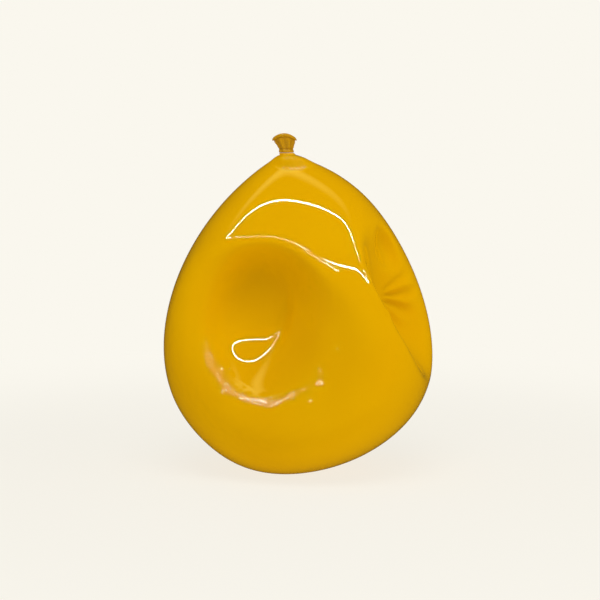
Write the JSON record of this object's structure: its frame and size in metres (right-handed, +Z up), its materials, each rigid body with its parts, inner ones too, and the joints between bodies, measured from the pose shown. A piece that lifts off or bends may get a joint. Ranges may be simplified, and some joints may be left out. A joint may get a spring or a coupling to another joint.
{
  "type": "dented balloon sculpture",
  "caption": "Glossy yellow ornament shaped like a slack, dented balloon with a tied nozzle, standing on a small flat foot.",
  "frame": {"origin": "centre of the flat foot, on the surface the balloon stands on", "axes": "+Z up along the body to the nozzle, +X to the right of the deep front dent seen from the front, +Y to the back"},
  "size_m": [0.2225, 0.1745, 0.2782],
  "materials": {
    "body": "deep glossy lacquer",
    "nozzle": "satin, pleated"
  },
  "bodies": {
    "root": {"body": "body", "nozzle": "nozzle"}
  },
  "joints": []
}
